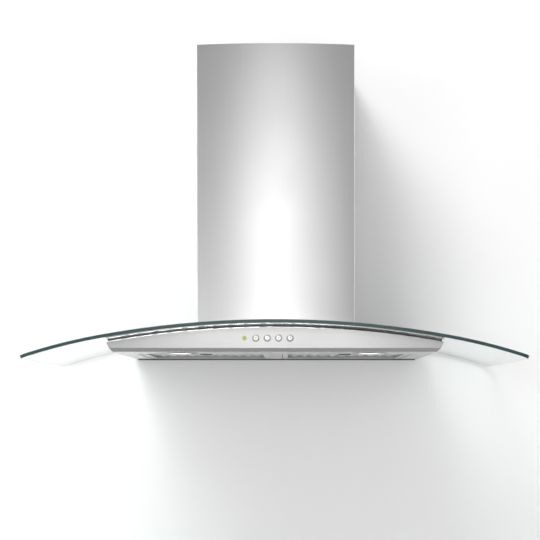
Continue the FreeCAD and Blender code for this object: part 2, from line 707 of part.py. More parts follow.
def underside_frame():
    """The floor of the body, with an upstand round the filter opening and two lamp holes."""
    frame = Piece("underside_frame")
    half = f"({BOTTOM_HALF} - {SIDE_SKIN})"
    opening = rectangle(f"-{OPENING_HALF}", "-opening_front", OPENING_HALF, "-opening_rear")
    rim = rectangle(
        f"-{OPENING_HALF} - body_sheet",
        "-opening_front - body_sheet",
        f"{OPENING_HALF} + body_sheet",
        "-opening_rear + body_sheet",
    )
    lamps = [circle(side + "lamp_x", "-lamp_out", f"{LAMP_BARREL} + pin_play") for name, side in SIDES]
    plate = rectangle(f"-{half}", f"-{CASING_FRONT}", half, "-body_sheet")
    frame.pad("XY", "0", "body_sheet", plate, opening, *lamps)
    frame.pad("XY", "body_sheet", "body_sheet + opening_rim", rim, opening)
    pivot = circle(f"-{PIVOT_OUT}", PIVOT_Z, "pin_radius + pin_play")
    frame.cut("YZ", f"-{OPENING_HALF} - 2 * body_sheet", f"{OPENING_HALF} + 2 * body_sheet", pivot)
    windows = [
        rectangle(
            f"{side}latch_x - tongue_width / 2 - 3 * latch_play",
            "body_sheet",
            f"{side}latch_x + tongue_width / 2 + 3 * latch_play",
            "body_sheet + tongue_thick + 3 * latch_play",
        )
        for name, side in SIDES
    ]
    frame.cut("XZ", "-opening_front - 2 * body_sheet", "-opening_front + body_sheet", *windows)


def filter_centre_rail():
    """The channel between the filters, flush with the underside, with flanges above them."""
    rail = Piece("filter_centre_rail")
    top = "rail_height + body_sheet"
    outer = "(rail_width / 2)"
    inner = f"({outer} - body_sheet)"
    flange = f"({outer} + rail_flange)"
    right = [
        (outer, "0"),
        (outer, "rail_height"),
        (flange, "rail_height"),
        (flange, top),
        (inner, top),
        (inner, "body_sheet"),
    ]
    left = [("-" + across, up) for across, up in reversed(right)]
    rail.pad("XZ", "-opening_front", "-opening_rear", right + left)
    pivot = circle(f"-{PIVOT_OUT}", PIVOT_Z, "pin_radius + pin_play")
    rail.cut("YZ", "-rail_width", "rail_width", pivot)


# ---------------------------------------------------------------- filters

def filter_frame(name, side):
    """A shallow box frame with a groove for the mesh, two pivot pins and a latch recess."""
    frame = Piece("filter_frame_" + name)
    centre = side + FILTER_X
    half = "filter_width / 2"
    rear = f"-{FILTER_REAR}"
    outer = rounded(f"{centre} - {half}", "-filter_front", f"{centre} + {half}", rear, "filter_corner")
    inner = rectangle(
        f"{centre} - {half} + filter_bar",
        "-filter_front + front_bar",
        f"{centre} + {half} - filter_bar",
        f"{rear} - filter_bar",
    )
    frame.pad("XY", "filter_base", FILTER_TOP, outer, inner)
    groove = rectangle(
        f"{centre} - {half} + filter_bar - groove_depth",
        "-filter_front + front_bar - groove_depth",
        f"{centre} + {half} - filter_bar + groove_depth",
        f"{rear} - filter_bar + groove_depth",
    )
    frame.cut("XY", MESH_LOW, f"{MESH_LOW} + mesh_rise + mesh_thick", groove)
    reach = "(filter_width / 2 + filter_gap + pin_grip)"
    pivot = circle(f"-{PIVOT_OUT}", PIVOT_Z, "pin_radius")
    frame.pad("YZ", f"{centre} - {reach}", f"{centre} - {half} + {PAST}", pivot)
    frame.pad("YZ", f"{centre} + {half} - {PAST}", f"{centre} + {reach}", pivot)
    recess = rectangle(
        f"{side}latch_x - tongue_width / 2 - latch_play",
        f"-filter_front - {PAST}",
        f"{side}latch_x + tongue_width / 2 + latch_play",
        "-filter_front + latch_travel + latch_length - latch_play",
    )
    frame.cut("XY", f"filter_base - {PAST}", "body_sheet + tongue_thick + 3 * latch_play", recess)


def filter_mesh(name, side):
    """The corrugated pack of expanded foil that fills the frame."""
    mesh = Piece("filter_mesh_" + name)
    half = "(filter_width / 2 - filter_bar + groove_depth)"
    upper = []
    lower = []
    for i in range(2 * MESH_FOLDS + 1):
        across = f"{side}{FILTER_X} + {half} * ({i} / {MESH_FOLDS} - 1)"
        rise = f"{MESH_LOW} + mesh_rise * {i % 2}"
        lower.append((across, rise))
        upper.append((across, f"{rise} + mesh_thick"))
    front = "-filter_front + front_bar - groove_depth"
    rear = f"-{FILTER_REAR} - filter_bar + groove_depth"
    mesh.pad("XZ", front, rear, lower + upper[::-1])


def filter_latch(name, side):
    """A finger plate under the frame, with a tongue that lies on the edge of the opening."""
    latch = Piece("filter_latch_" + name)
    left = f"{side}latch_x - tongue_width / 2"
    right = f"{side}latch_x + tongue_width / 2"
    tongue_low = "(body_sheet + latch_play)"
    tongue_high = f"({tongue_low} + tongue_thick)"
    plate_low = "(filter_base - latch_drop)"
    plate_high = "(filter_base - latch_play)"
    stem_rear = "(-filter_front + latch_length - latch_play * 2)"
    tongue = rectangle(left, "-filter_front - tongue_reach", right, stem_rear)
    latch.pad("XY", tongue_low, tongue_high, tongue)
    stem = rectangle(left, f"{stem_rear} - latch_length / 2", right, stem_rear)
    latch.pad("XY", plate_low, tongue_low, stem)
    plate = rounded(
        f"{side}latch_x - latch_width / 2",
        f"{stem_rear} - latch_length",
        f"{side}latch_x + latch_width / 2",
        stem_rear,
        "latch_drop",
    )
    latch.pad("XY", plate_low, plate_high, plate)


# ---------------------------------------------------------------- lamps

def lamp(name, side):
    """A bezel with its lens, pushed up through the underside into a can with the bulb."""
    across = side + "lamp_x"
    at = (across, "-lamp_out")
    opening = "(lamp_lens_r - lamp_ledge)"

    bezel = Piece("lamp_bezel_" + name)
    bezel.turn("Z", at, [
        ("-lamp_bezel_drop", opening),
        ("-lamp_bezel_drop", "lamp_bezel_r - lamp_bezel_drop"),
        ("0", "lamp_bezel_r"),
        ("0", LAMP_BARREL),
        ("lamp_barrel_height", LAMP_BARREL),
        ("lamp_barrel_height", "lamp_lens_r"),
        (LAMP_LEDGE, "lamp_lens_r"),
        (LAMP_LEDGE, opening),
    ])

    lens = Piece("lamp_lens_" + name)
    lens.pad("XY", LAMP_LEDGE, f"{LAMP_LEDGE} + lamp_lens_thick", circle(*at, "lamp_lens_r - pin_play"))

    can = Piece("lamp_housing_" + name)
    bore = f"({LAMP_BARREL} + 2 * pin_play)"
    can.pad("XY", "body_sheet", "lamp_can_height", circle(*at, f"{bore} + lamp_can_wall"))
    can.cut("XY", "0", LAMP_ROOF, circle(*at, bore))

    bulb = Piece("lamp_bulb_" + name)
    base = f"({LAMP_ROOF} - bulb_base)"
    bulb.pad("XY", base, LAMP_ROOF, circle(*at, "bulb_base_r"))
    bulb.pad("XY", f"{base} - bulb_length", base, circle(*at, "bulb_r"))


# ---------------------------------------------------------------- controls

FACE = "-fascia_front"
BARREL_END = f"({FACE} + barrel_length)"
STOP_FRONT = f"({BARREL_END} + stop_gap)"
STOP_BACK = f"({STOP_FRONT} + stop_thick)"
SWITCH_FRONT = f"({STOP_BACK} + button_travel + switch_gap)"
BOARD_FRONT = f"({SWITCH_FRONT} + switch_height)"


def button_x(i):
    return f"(button_first + {i} * button_pitch)"


def button_bezel(i):
    """A ring on the fascia, with a barrel through it that guides the button."""
    bezel = Piece(f"button_bezel_{i + 1}")
    bore = "(cap_r + cap_play)"
    bezel.turn("Y", (button_x(i), "control_z"), [
        (f"{FACE} - ring_proud", f"{bore} + ring_rim"),
        (f"{FACE} - ring_proud", bore),
        (BARREL_END, bore),
        (BARREL_END, "barrel_r"),
        (FACE, "barrel_r"),
        (FACE, "ring_r"),
    ])


def button(i):
    """A round cap with a stop flange behind the barrel that it slides in."""
    cap = Piece(f"button_{i + 1}")
    face = f"({FACE} - cap_proud)"
    cap.turn("Y", (button_x(i), "control_z"), [
        (face, "0"),
        (STOP_BACK, "0"),
        (STOP_BACK, "stop_r"),
        (STOP_FRONT, "stop_r"),
        (STOP_FRONT, "cap_r"),
        (f"{face} + cap_chamfer", "cap_r"),
        (face, "cap_r - cap_chamfer"),
    ])


def pilot_lens():
    lens = Piece("pilot_lens")
    back = f"({BOARD_FRONT} - chip_height - chip_gap)"
    lens.pad("XZ", FACE, back, circle("pilot_x", "control_z", "pilot_barrel_r"))
    lens.pad("XZ", f"{FACE} - pilot_flange", FACE, circle("pilot_x", "control_z", "pilot_flange_r"))


def control_housing():
    """The open plastic tray behind the fascia that carries the board."""
    tray = Piece("control_housing")
    front = f"-{FASCIA_BACK}"
    back = f"({front} + housing_depth)"
    outer = rounded("housing_left", "housing_low", "housing_right", "housing_high", "housing_wall * 2")
    inner = rounded(
        "housing_left + housing_wall",
        "housing_low + housing_wall",
        "housing_right - housing_wall",
        "housing_high - housing_wall",
        "housing_wall",
    )
    tray.pad("XZ", front, back, outer)
    tray.cut("XZ", f"{front} - {PAST}", f"{back} - housing_wall", inner)
    low = "housing_low + housing_wall"
    high = "housing_high - housing_wall"
    for across in ("housing_left + 3 * housing_wall", "housing_right - 3 * housing_wall"):
        post = rectangle(f"{across} - housing_wall", low, f"{across} + housing_wall", high)
        tray.pad("XZ", f"{BOARD_FRONT} + board_thick", f"{back} - housing_wall", post)


def control_board():
    board = Piece("control_board")
    outline = rectangle(
        "housing_left + housing_wall",
        "housing_low + 2 * housing_wall",
        "housing_right - housing_wall",
        "housing_high - 2 * housing_wall",
    )
    board.pad("XZ", BOARD_FRONT, f"{BOARD_FRONT} + board_thick", outline)
    board.pad("XZ", f"{BOARD_FRONT} - chip_height", BOARD_FRONT, square("pilot_x", "control_z", "chip_half"))


def button_switches():
    """Four key switches on the board, each with its plunger."""
    switches = Piece("button_switches")
    bodies = [square(button_x(i), "control_z", "switch_half") for i in range(BUTTON_COUNT)]
    plungers = [square(button_x(i), "control_z", "plunger_half") for i in range(BUTTON_COUNT)]
    switches.pad("XZ", f"{SWITCH_FRONT} + plunger_height", BOARD_FRONT, *bodies)
    switches.pad("XZ", SWITCH_FRONT, f"{SWITCH_FRONT} + plunger_height", *plungers)


# ---------------------------------------------------------------- chimney

def chimney_plan(half, out, rear, flange):
    """Plan of a chimney half: a C with a bowed front and rear flanges turned in."""
    skin = "chimney_sheet"
    bow = "((chimney_half ^ 2 + chimney_bow ^ 2) / (2 * chimney_bow))"
    middle = f"(-chimney_out - chimney_bow + {bow})"
    inset = f"(chimney_half - ({half}))"
    outer = f"({bow} - {inset})"
    inner = f"({outer} - {skin})"

    def front(radius, across):
        return f"{middle} - sqrt({radius} ^ 2 - ({across}) ^ 2)"

    wall = f"({half} - {skin})"
    return [
        (f"-({half})", rear),
        (f"-({half})", front(outer, half), "ccw", outer),
        (half, front(outer, half)),
        (half, rear),
        (f"{half} - {flange}", rear),
        (f"{half} - {flange}", f"{rear} - {skin}"),
        (wall, f"{rear} - {skin}"),
        (wall, front(inner, wall), "cw", inner),
        (f"-{wall}", front(inner, wall)),
        (f"-{wall}", f"{rear} - {skin}"),
        (f"-({half} - {flange})", f"{rear} - {skin}"),
        (f"-({half} - {flange})", rear),
    ]


def bend_corners(piece, half):
    """Round the outer and inner front corners of a chimney half."""
    reach = value(half)
    skin = value("chimney_sheet")
    front = -value("chimney_out") / 2

    def corner(at):
        return lambda box: box.YMax < front and near(box.XLength, 0) and near(abs(box.XMax), at)

    piece.fillet("chimney_bend", corner(reach))
    piece.fillet("chimney_bend - chimney_sheet", corner(reach - skin))


UPPER_HALF = "(chimney_half - chimney_sheet - telescope_gap)"


def chimney_lower():
    chimney = Piece("chimney_lower")
    plan = chimney_plan("chimney_half", "chimney_out", "0", "chimney_flange")
    chimney.pad("XY", "0", "chimney_top", plan)
    bend_corners(chimney, "chimney_half")
    half = f"(chimney_half + {PAST})"
    below = [
        (f"-{half}", f"-{PAST}"),
        (half, f"-{PAST}"),
        (half, surface("0", half), "ccw", "crown_radius"),
        (f"-{half}", surface("0", half)),
    ]
    chimney.cut("XZ", "-glass_front", PAST, below)
    hole = circle("-ear_out", "ear_screw_z", "ear_screw_r + pin_play")
    chimney.cut("YZ", f"-{half}", half, hole)


def chimney_upper():
    chimney = Piece("chimney_upper")
    rear = "(-chimney_sheet - telescope_gap)"
    plan = chimney_plan(UPPER_HALF, "chimney_out", rear, "chimney_flange")
    chimney.pad("XY", "upper_base", "upper_top", plan)
    bend_corners(chimney, UPPER_HALF)
    high = "upper_top - vent_drop"
    low = f"{high} - vent_height"
    vents = []
    for k in range(VENT_COUNT):
        middle = f"(-chimney_out / 2 + vent_pitch * ({k} - ({VENT_COUNT} - 1) / 2))"
        vents.append(rectangle(f"{middle} - vent_width / 2", low, f"{middle} + vent_width / 2", high))
    chimney.cut("YZ", f"-{UPPER_HALF} - {PAST}", f"{UPPER_HALF} + {PAST}", *vents)


def chimney_bracket():
    """The strap that holds the top of the chimney, with ears along its sides."""
    strap = Piece("chimney_bracket")
    rear = "(-chimney_sheet * 2 - telescope_gap)"
    wall = f"({UPPER_HALF} - chimney_sheet)"
    high = "(upper_top - strap_drop)"
    low = f"({high} - strap_height)"
    face = f"({rear} - strap_sheet)"
    ear = f"({face} - strap_ear)"
    plan = [
        (f"-{wall}", rear),
        (f"-{wall}", ear),
        (f"-{wall} + strap_sheet", ear),
        (f"-{wall} + strap_sheet", face),
        (f"{wall} - strap_sheet", face),
        (f"{wall} - strap_sheet", ear),
        (wall, ear),
        (wall, rear),
    ]
    strap.pad("XY", low, high, plan)
    middle = f"{high} - strap_height / 2"
    holes = [circle(side + "strap_hole_x", middle, "strap_hole_r") for name, side in SIDES]
    strap.cut("XZ", f"{face} - {PAST}", f"{rear} + {PAST}", *holes)


# ---------------------------------------------------------------- clamp over the glass

def clamp_pad():
    pad = Piece("clamp_pad")
    half = "clamp_half"
    pad.pad("XZ", "-clamp_front", "-clamp_rear", band("(-pad_thick)", "0", f"-{half}", half))
    pad.cut("XY", "0", f"{GLASS_TOP} + pad_thick", throat())
    holes = [circle(across, out, "clamp_screw_r + pin_play") for across, out in CLAMP_SCREWS]
    pad.cut("XY", "0", f"{GLASS_TOP} + pad_thick", *holes)


def clamp_plate():
    """The curved steel plate that sandwiches the glass, with two ears for the chimney."""
    plate = Piece("clamp_plate")
    depth_low = "(-pad_thick)"
    plate.pad("XZ", "-clamp_front", "-clamp_rear", band(CLAMP_DEPTH, depth_low, "-clamp_half", "clamp_half"))
    top = f"{GLASS_TOP} + pad_thick + clamp_thick"
    reach = "(chimney_half - chimney_sheet)"
    for side in ("-", ""):
        foot = surface(depth_low, "clamp_half - clamp_thick")
        inner = f"{side}(clamp_half - clamp_thick)"
        outer = f"{side}{reach}"
        left, right = (outer, inner) if side else (inner, outer)
        step = rectangle(left, foot, right, f"{foot} + clamp_thick")
        plate.pad("XZ", "-ear_out - ear_width / 2", "-ear_out + ear_width / 2", step)
        near_side = f"{side}({reach} - clamp_thick / 2)"
        left, right = (outer, near_side) if side else (near_side, outer)
        ear = rectangle(left, foot, right, "ear_height")
        plate.pad("XZ", "-ear_out - ear_width / 2", "-ear_out + ear_width / 2", ear)
    plate.cut("XY", "0", top, throat())
    holes = [circle(across, out, "clamp_screw_r + pin_play") for across, out in CLAMP_SCREWS]
    plate.cut("XY", "0", top, *holes)
    screw = circle("-ear_out", "ear_screw_z", "ear_screw_r + pin_play")
    plate.cut("YZ", "-chimney_half", "chimney_half", screw)


def glass_screws():
    """Four hexagon screws through flange, plate, glass and body, each with its nut."""
    screws = Piece("glass_screws")
    head_base = surface(f"({CLAMP_DEPTH} - box_sheet)", "clamp_screw_x - clamp_head_r")
    deck = surface(f"({DECK_DEPTH} + body_sheet)", "clamp_screw_x + clamp_head_r")
    shanks = [circle(across, out, "clamp_screw_r - pin_play") for across, out in CLAMP_SCREWS]
    hexagons = [hexagon(across, out, "clamp_head_r") for across, out in CLAMP_SCREWS]
    screws.pad("XY", f"{deck} - clamp_nut - clamp_tail", head_base, *shanks)
    screws.pad("XY", head_base, f"{head_base} + clamp_head", *hexagons)
    screws.pad("XY", f"{deck} - clamp_nut", deck, *hexagons)


# ---------------------------------------------------------------- blower

def blower_box():
    """The sheet box that draws air up through the throat, with flanges on the clamp plate."""
    box = Piece("blower_box")
    foot = surface(CLAMP_DEPTH, "box_half")
    bend = f"crown_radius - {CLAMP_DEPTH}"
    section = [
        ("-box_half", foot, "cw", bend),
        ("box_half", foot),
        ("box_half", "box_top"),
        ("-box_half", "box_top"),
    ]
    box.pad("XZ", "-box_front", "-box_rear", section)
    low = value(f"{GLASS_TOP} + pad_thick + clamp_thick + box_sheet")
    box.shell("box_sheet", lambda face: face.BoundBox.ZMax < low)
    above = f"({CLAMP_DEPTH} - box_sheet)"
    reach = "(box_half + box_flange)"
    inner = "(box_half - box_sheet)"
    for left, right in ((f"-{reach}", f"-{inner}"), (inner, reach)):
        flange = band(above, CLAMP_DEPTH, left, right)
        box.pad("XZ", "-box_front + box_flange_short", "-box_rear - box_flange_short", flange)
    holes = [circle(across, out, "clamp_screw_r + pin_play") for across, out in CLAMP_SCREWS]
    box.cut("XY", "body_height", "box_top / 2", *holes)
    outlet_rear = "-fan_out + scroll_start + 3 * scroll_step"
    outlet = rectangle("-scroll_half", "-fan_out + tongue_out", "scroll_half", outlet_rear)
    box.cut("XY", "box_top - 2 * box_sheet", f"box_top + {PAST}", outlet)
    slots = [hook_slot(side) for name, side in SIDES]
    box.cut("XZ", "-box_rear - 2 * box_sheet", f"-box_rear + {PAST}", *slots)


def hook_slot(side):
    """The slot that a hook's lip passes; its upper edge then rests on the hook's arm."""
    across = side + "hook_x"
    low = "hook_z - hook_drop - hook_rise - 2 * hook_sheet"
    high = "hook_z - hook_drop"
    half = "(hook_width / 2 + hook_play)"
    return rectangle(f"{across} - {half}", low, f"{across} + {half}", high)


def scroll_outline(skin, top):
    """A three centre spiral round the fan axis that opens upwards into the outlet."""
    first = f"(scroll_start + {skin})"
    second = f"({first} + scroll_step)"
    third = f"({second} + scroll_step)"
    return [
        ("0", first, "ccw", first),
        (f"-{first}", "0", "ccw", second),
        ("scroll_step", f"-{second}", "ccw", third),
        (f"scroll_step + {third}", "scroll_step"),
        (f"scroll_step + {third}", top),
        (f"tongue_out - {skin}", top),
        (f"tongue_out - {skin}", f"tongue_rise + {skin}"),
    ]


def scroll_half(name, side):
    """One half of the scroll, with the bell mouth of its inlet."""
    half = Piece("scroll_" + name)
    at = ("-fan_out", "fan_z")
    inside = side + "scroll_half"
    outside = side + "(scroll_half + scroll_sheet)"
    rim = side + "(scroll_half + scroll_sheet + inlet_lip)"
    past_joint = f"{'' if side else '-'}{PAST}"

    def span(*levels):
        return sorted(levels, key=value)

    half.pad("YZ", *span("0", outside), scroll_outline("scroll_sheet", SCROLL_TOP), at=at)
    hollow = scroll_outline("0", f"({SCROLL_TOP} + {PAST})")
    half.cut("YZ", *span(past_joint, inside), hollow, at=at)
    half.cut("YZ", *span(inside, rim), circle("0", "0", "inlet_r + scroll_sheet"), at=at)
    half.turn("X", at, [
        (inside, "inlet_r"),
        (rim, "inlet_r + inlet_lip"),
        (rim, "inlet_r + inlet_lip + scroll_sheet"),
        (inside, "inlet_r + 2 * scroll_sheet"),
    ])


def impeller():
    """A double inlet squirrel cage: centre disc with hub, two end rings, curved blades."""
    fan = Piece("impeller")
    at = ("-fan_out", "fan_z")
    bore = "shaft_r"
    fan.turn("X", at, [
        ("-hub_half", bore),
        ("hub_half", bore),
        ("hub_half", "hub_r"),
        ("fan_ring / 2", "hub_r"),
        ("fan_ring / 2", "fan_r"),
        ("-fan_ring / 2", "fan_r"),
        ("-fan_ring / 2", "hub_r"),
        ("-hub_half", "hub_r"),
    ])
    for low, high in (("-fan_half", "-fan_half + fan_ring"), ("fan_half - fan_ring", "fan_half")):
        fan.pad("YZ", low, high, circle("0", "0", "fan_r"), circle("0", "0", "fan_inner_r"), at=at)
    blade = [
        ("fan_inner_r + blade_seat", "0", "ccw", "blade_radius"),
        ("fan_r - blade_seat", "blade_lean"),
        ("fan_r - blade_seat", "blade_lean + blade_thick", "cw", "blade_radius"),
        ("fan_inner_r + blade_seat", "blade_thick"),
    ]
    fan.polar(fan.pad("YZ", "-fan_half + blade_seat", "fan_half - blade_seat", blade, at=at), "fan_blades")


def motor():
    at = ("-fan_out", "fan_z")
    near_end = "-motor_near"
    far_end = "(-motor_near - motor_length)"

    shaft = Piece("motor_shaft")
    shaft.rod("X", at, f"{far_end} - motor_boss", "hub_half + motor_boss", "shaft_r")

    body = Piece("motor_body")
    bore = "shaft_r + pin_play"
    body.turn("X", at, [
        (far_end, bore),
        (near_end, bore),
        (near_end, "motor_boss_r"),
        (f"{near_end} - motor_boss", "motor_boss_r"),
        (f"{near_end} - motor_boss", "motor_r - motor_taper"),
        (f"{near_end} - motor_boss - motor_taper", "motor_r"),
        (f"{far_end} + motor_taper", "motor_r"),
        (far_end, "motor_r - motor_taper"),
    ])

    spider = Piece("motor_spider")
    band_high = f"({near_end} - spider_inset)"
    band_low = f"({band_high} - spider_band)"
    foot = "(-scroll_half - scroll_sheet)"
    band_r = "(motor_r + spider_wall)"
    spider.pad("YZ", band_low, band_high, circle("0", "0", band_r), circle("0", "0", "motor_r"), at=at)
    arm = rectangle(f"{band_r} - spider_wall / 2", "-spider_arm / 2", "spider_reach", "spider_arm / 2")
    arms = spider.pad("YZ", f"{band_high} - 2 * spider_wall", band_high, arm, at=at)
    spider.polar(arms, "3")
    leg = rectangle("spider_reach - 2 * spider_wall", "-spider_arm / 2", "spider_reach", "spider_arm / 2")
    legs = spider.pad("YZ", f"{band_high} - spider_wall", foot, leg, at=at)
    spider.polar(legs, "3")


# ---------------------------------------------------------------- outlet

def outlet_collar():
    """The round spigot for the duct, with a ledge under the flaps."""
    collar = Piece("outlet_collar")
    at = ("0", "-collar_out")
    ledge_top = f"({FLAP_AXIS_Z} - knuckle_r)"
    collar.turn("Z", at, [
        ("box_top", f"{COLLAR_INNER} - ledge_width"),
        ("box_top", "collar_flange_r"),
        (COLLAR_BASE, "collar_flange_r"),
        (COLLAR_BASE, "collar_r"),
        (f"{COLLAR_BASE} + spigot_length", "collar_r"),
        (f"{COLLAR_BASE} + spigot_length", COLLAR_INNER),
        (ledge_top, COLLAR_INNER),
        (ledge_top, f"{COLLAR_INNER} - ledge_width"),
    ])
    pin = circle("-collar_out", FLAP_AXIS_Z, "flap_pin_r + pin_play")
    collar.cut("YZ", f"-collar_r - {PAST}", f"collar_r + {PAST}", pin)


def flap(name, toward, knuckles):
    """Half of the non return valve: a half moon plate with two knuckles on the pin."""
    leaf = Piece("flap_" + name)
    rim = f"({COLLAR_INNER} - flap_play)"
    edge = "(knuckle_r + knuckle_edge)"
    half = f"sqrt({rim} ^ 2 - {edge} ^ 2)"
    plate_low = f"({FLAP_AXIS_Z} - knuckle_r + ledge_gap)"
    at = ("0", "-collar_out")
    if toward == "-":
        corners = [
            (half, f"-{edge}"),
            (f"-{half}", f"-{edge}", "ccw", rim),
            ("0", f"-{rim}", "ccw", rim),
        ]
    else:
        corners = [
            (f"-{half}", edge),
            (half, edge, "ccw", rim),
            ("0", rim, "ccw", rim),
        ]
    leaf.pad("XY", plate_low, f"{plate_low} + flap_thick", corners, at=at)
    for centre in knuckles:
        low = f"({centre} - knuckle_length / 2)"
        high = f"({centre} + knuckle_length / 2)"
        leaf.rod("X", ("-collar_out", FLAP_AXIS_Z), low, high, "knuckle_r")
        inner = f"{toward}flap_pin_r"
        outer = f"{toward}({edge} + {PAST})"
        near_edge, far_edge = (outer, inner) if toward else (inner, outer)
        web = rectangle(low, near_edge, high, far_edge)
        leaf.pad("XY", plate_low, f"{plate_low} + flap_thick", web, at=at)
    bore = circle("-collar_out", FLAP_AXIS_Z, "flap_pin_r + pin_play")
    leaf.cut("YZ", "-collar_r", "collar_r", bore)


def flap_pin():
    pin = Piece("flap_pin")
    pin.rod("X", ("-collar_out", FLAP_AXIS_Z), "-collar_r + pin_play", "collar_r - pin_play", "flap_pin_r")


def collar_screws():
    """Four hexagon heads in the collar's flange, between the axes."""
    screws = Piece("collar_screws")
    spread = "((collar_r + collar_flange_r) / 2 * sqrt(0.5))"
    heads = [
        hexagon(f"{side}{spread}", f"-collar_out {way} {spread}", "collar_screw_r")
        for name, side in SIDES
        for way in "-+"
    ]
    screws.pad("XY", COLLAR_BASE, f"{COLLAR_BASE} + collar_screw_head", *heads)


def chimney_screws():
    """A screw on each side that holds the lower chimney to the clamp plate's ear."""
    screws = Piece("chimney_screws")
    for name, side in SIDES:
        inner = f"{side}(chimney_half - ear_screw_reach)"
        skin = f"{side}chimney_half"
        outer = f"{side}(chimney_half + ear_screw_head)"
        screws.turn("X", ("-ear_out", "ear_screw_z"), [
            (inner, "0"),
            (outer, "0"),
            (outer, "ear_screw_r + ear_screw_rim / 2"),
            (skin, "ear_screw_r + ear_screw_rim"),
            (skin, "ear_screw_r"),
            (inner, "ear_screw_r"),
        ])


# ---------------------------------------------------------------- wall brackets and electrics

def wall_bracket(name, side):
    """A folded hook on the wall that the blower box hangs on."""
    bracket = Piece("wall_bracket_" + name)
    arm_low = "(hook_z - hook_drop - hook_sheet)"
    arm_high = "(hook_z - hook_drop)"
    lip = "(-box_rear - box_sheet - hook_play)"
    section = [
        ("0", arm_low),
        ("0", "hook_z + hook_drop / 2"),
        ("-hook_sheet", "hook_z + hook_drop / 2"),
        ("-hook_sheet", arm_high),
        (lip, arm_high),
        (lip, f"{arm_high} + hook_rise"),
        (f"{lip} - hook_sheet", f"{arm_high} + hook_rise"),
        (f"{lip} - hook_sheet", arm_low),
    ]
    middle = side + "hook_x"
    bracket.pad("YZ", f"{middle} - hook_width / 2", f"{middle} + hook_width / 2", section)
    bracket.cut("XZ", f"-hook_sheet - {PAST}", PAST, circle(middle, "hook_z", "hook_hole_r"))


def electronics_box():
    """The lamp supply on the side of the blower box, with a hole for its gland."""
    supply = Piece("electronics_box")
    front = "-supply_out - supply_length / 2"
    rear = "-supply_out + supply_length / 2"
    plan = rounded("box_half", front, "box_half + supply_depth", rear, "supply_corner")
    supply.pad("XY", "supply_z", SUPPLY_TOP, plan)
    hole = circle(*GLAND_AT, "gland_thread_r + pin_play")
    supply.cut("XY", f"{SUPPLY_TOP} - gland_thread - {PAST}", f"{SUPPLY_TOP} + {PAST}", hole)


def cable_gland():
    gland = Piece("cable_gland")
    low = f"({SUPPLY_TOP} - gland_thread)"
    high = f"({SUPPLY_TOP} + gland_length)"
    nut_top = f"({SUPPLY_TOP} + gland_nut)"
    gland.pad("XY", low, SUPPLY_TOP, circle(*GLAND_AT, "gland_thread_r"))
    gland.pad("XY", SUPPLY_TOP, nut_top, hexagon(*GLAND_AT, "gland_nut_r"))
    gland.pad("XY", nut_top, high, circle(*GLAND_AT, "gland_r"))
    gland.cut("XY", f"{low} - {PAST}", f"{high} + {PAST}", circle(*GLAND_AT, "gland_bore_r"))


def capacitor():
    """The motor's run capacitor on the side of the blower box, with two terminals."""
    can = Piece("capacitor")
    across = "(-box_half - capacitor_r)"
    top = "(supply_z + capacitor_height)"
    can.pad("XY", "supply_z", top, circle(across, "-supply_out", "capacitor_r"))
    tabs = [square(across, f"-supply_out + {way}tab_spread", "tab_half") for way in ("-", "")]
    can.pad("XY", top, f"{top} + tab_height", *tabs)


# ---------------------------------------------------------------- the whole hood

glass_canopy()
glass_gasket()
body_casing()
control_fascia()
underside_frame()
filter_centre_rail()
for name, side in SIDES:
    filter_frame(name, side)
    filter_mesh(name, side)
    filter_latch(name, side)
    lamp(name, side)
for i in range(BUTTON_COUNT):
    button_bezel(i)
    button(i)
pilot_lens()
control_housing()
control_board()
button_switches()
chimney_lower()
chimney_upper()
chimney_bracket()
clamp_pad()
clamp_plate()
glass_screws()
blower_box()
scroll_half("left", "-")
scroll_half("right", "")
impeller()
motor()
outlet_collar()
flap("front", "-", [f"-{KNUCKLE_STEP} * 2.5", f"{KNUCKLE_STEP} * 1.5"])
flap("rear", "", [f"-{KNUCKLE_STEP} * 1.5", f"{KNUCKLE_STEP} * 2.5"])
flap_pin()
collar_screws()
chimney_screws()
for name, side in SIDES:
    wall_bracket(name, side)
electronics_box()
cable_gland()
capacitor()

doc.recompute()
for item in doc.Objects:
    if "Invalid" in item.State or "Error" in item.State:
        raise RuntimeError(f"{item.Label} is in state {item.State}")
for body in PIECES:
    if body.Shape.isNull() or not body.Shape.isValid():
        raise RuntimeError(f"{body.Label} has no valid shape")

os.makedirs("parts", exist_ok=True)
for body in PIECES:
    body.Shape.exportStep(f"parts/{body.Label}.step")
print(f"{len(PIECES)} pieces written")
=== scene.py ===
import math
import bmesh
import bpy
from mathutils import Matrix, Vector


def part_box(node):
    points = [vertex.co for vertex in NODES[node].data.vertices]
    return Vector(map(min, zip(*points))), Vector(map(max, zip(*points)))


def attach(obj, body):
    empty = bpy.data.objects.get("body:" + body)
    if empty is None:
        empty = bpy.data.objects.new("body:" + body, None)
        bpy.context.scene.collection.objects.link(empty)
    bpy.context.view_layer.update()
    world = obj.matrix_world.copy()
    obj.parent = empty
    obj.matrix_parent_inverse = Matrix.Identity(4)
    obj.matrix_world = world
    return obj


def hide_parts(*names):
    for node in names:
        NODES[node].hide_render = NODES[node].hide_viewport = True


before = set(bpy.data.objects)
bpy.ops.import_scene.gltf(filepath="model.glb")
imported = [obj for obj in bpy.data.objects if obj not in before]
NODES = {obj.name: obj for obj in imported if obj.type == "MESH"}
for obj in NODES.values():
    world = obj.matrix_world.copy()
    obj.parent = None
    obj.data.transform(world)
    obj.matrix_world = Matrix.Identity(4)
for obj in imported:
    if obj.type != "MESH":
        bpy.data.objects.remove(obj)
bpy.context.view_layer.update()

# A wall hung range hood under a curved sheet of glass. All lengths are in metres, +X is to the
# right, the wall is the plane Y = 0 with the room at negative Y, and Z runs up.


# ---------------------------------------------------------------- materials

